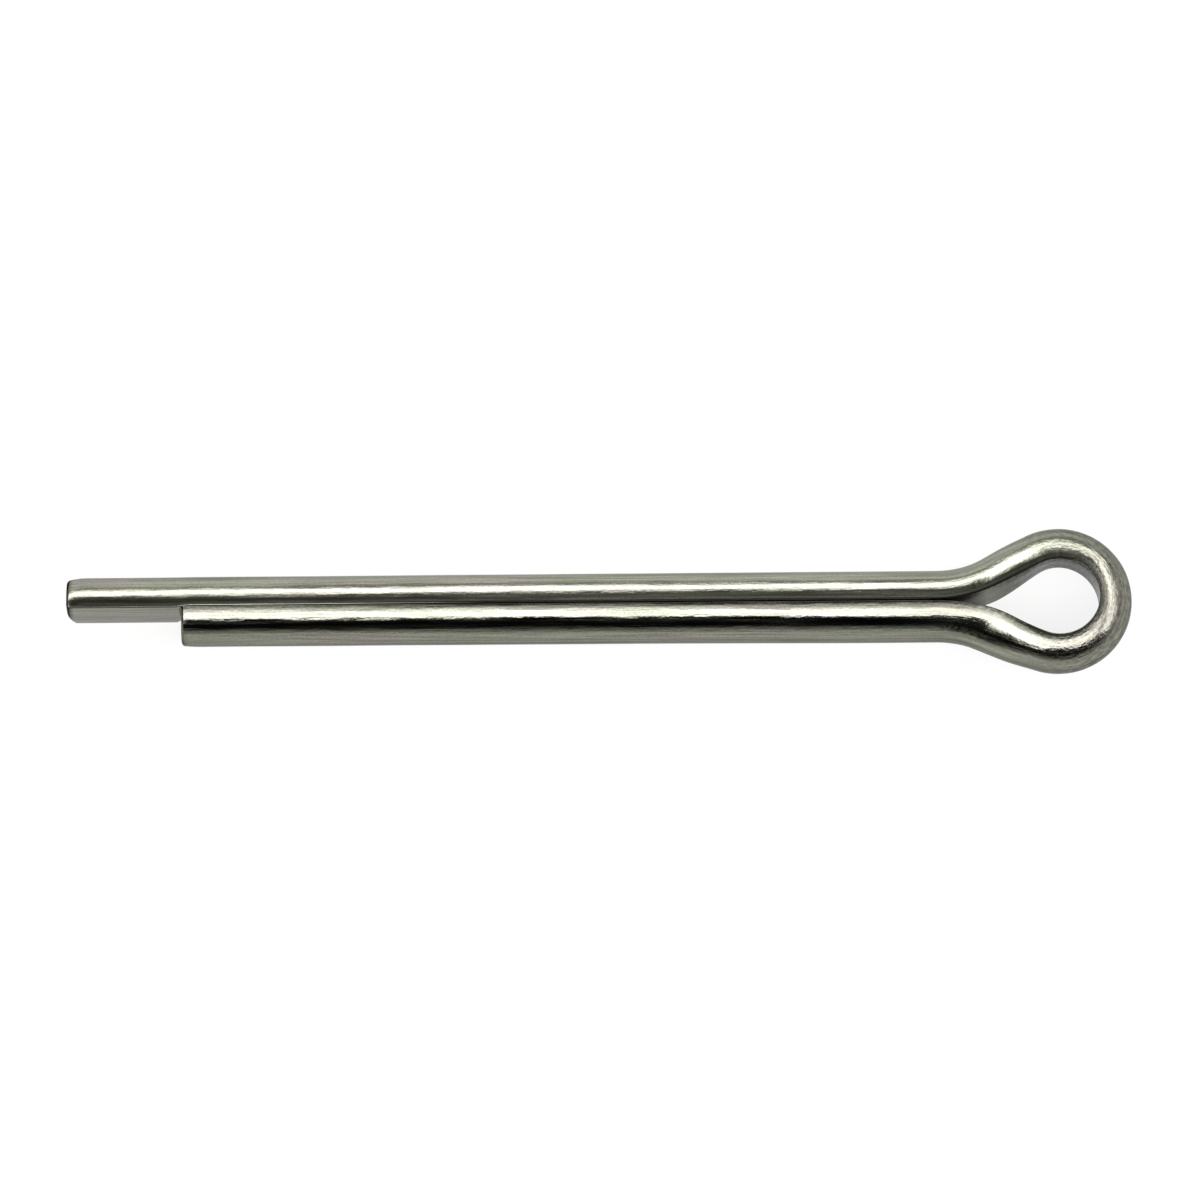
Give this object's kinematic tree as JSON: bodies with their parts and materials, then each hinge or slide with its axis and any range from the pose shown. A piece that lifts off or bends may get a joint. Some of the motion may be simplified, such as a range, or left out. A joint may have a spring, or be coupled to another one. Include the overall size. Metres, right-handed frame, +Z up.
{
  "type": "cotter pin",
  "caption": "Split cotter pin of half-round steel wire, folded into a round eye and two legs, one longer, that are spread apart behind a cross hole to lock a pin or nut.",
  "frame": {"origin": "on the shank's axis, at the neck where the two legs begin to part towards the eye", "axes": "the pin lies on its side: +X along the shank towards the eye, +Y across the legs towards the longer one, +Z up"},
  "size_m": [0.0437, 0.0061, 0.0028],
  "materials": {
    "zinc_plated_steel": "gloss"
  },
  "bodies": {
    "root": {"cotter_pin": "zinc_plated_steel"}
  },
  "joints": []
}
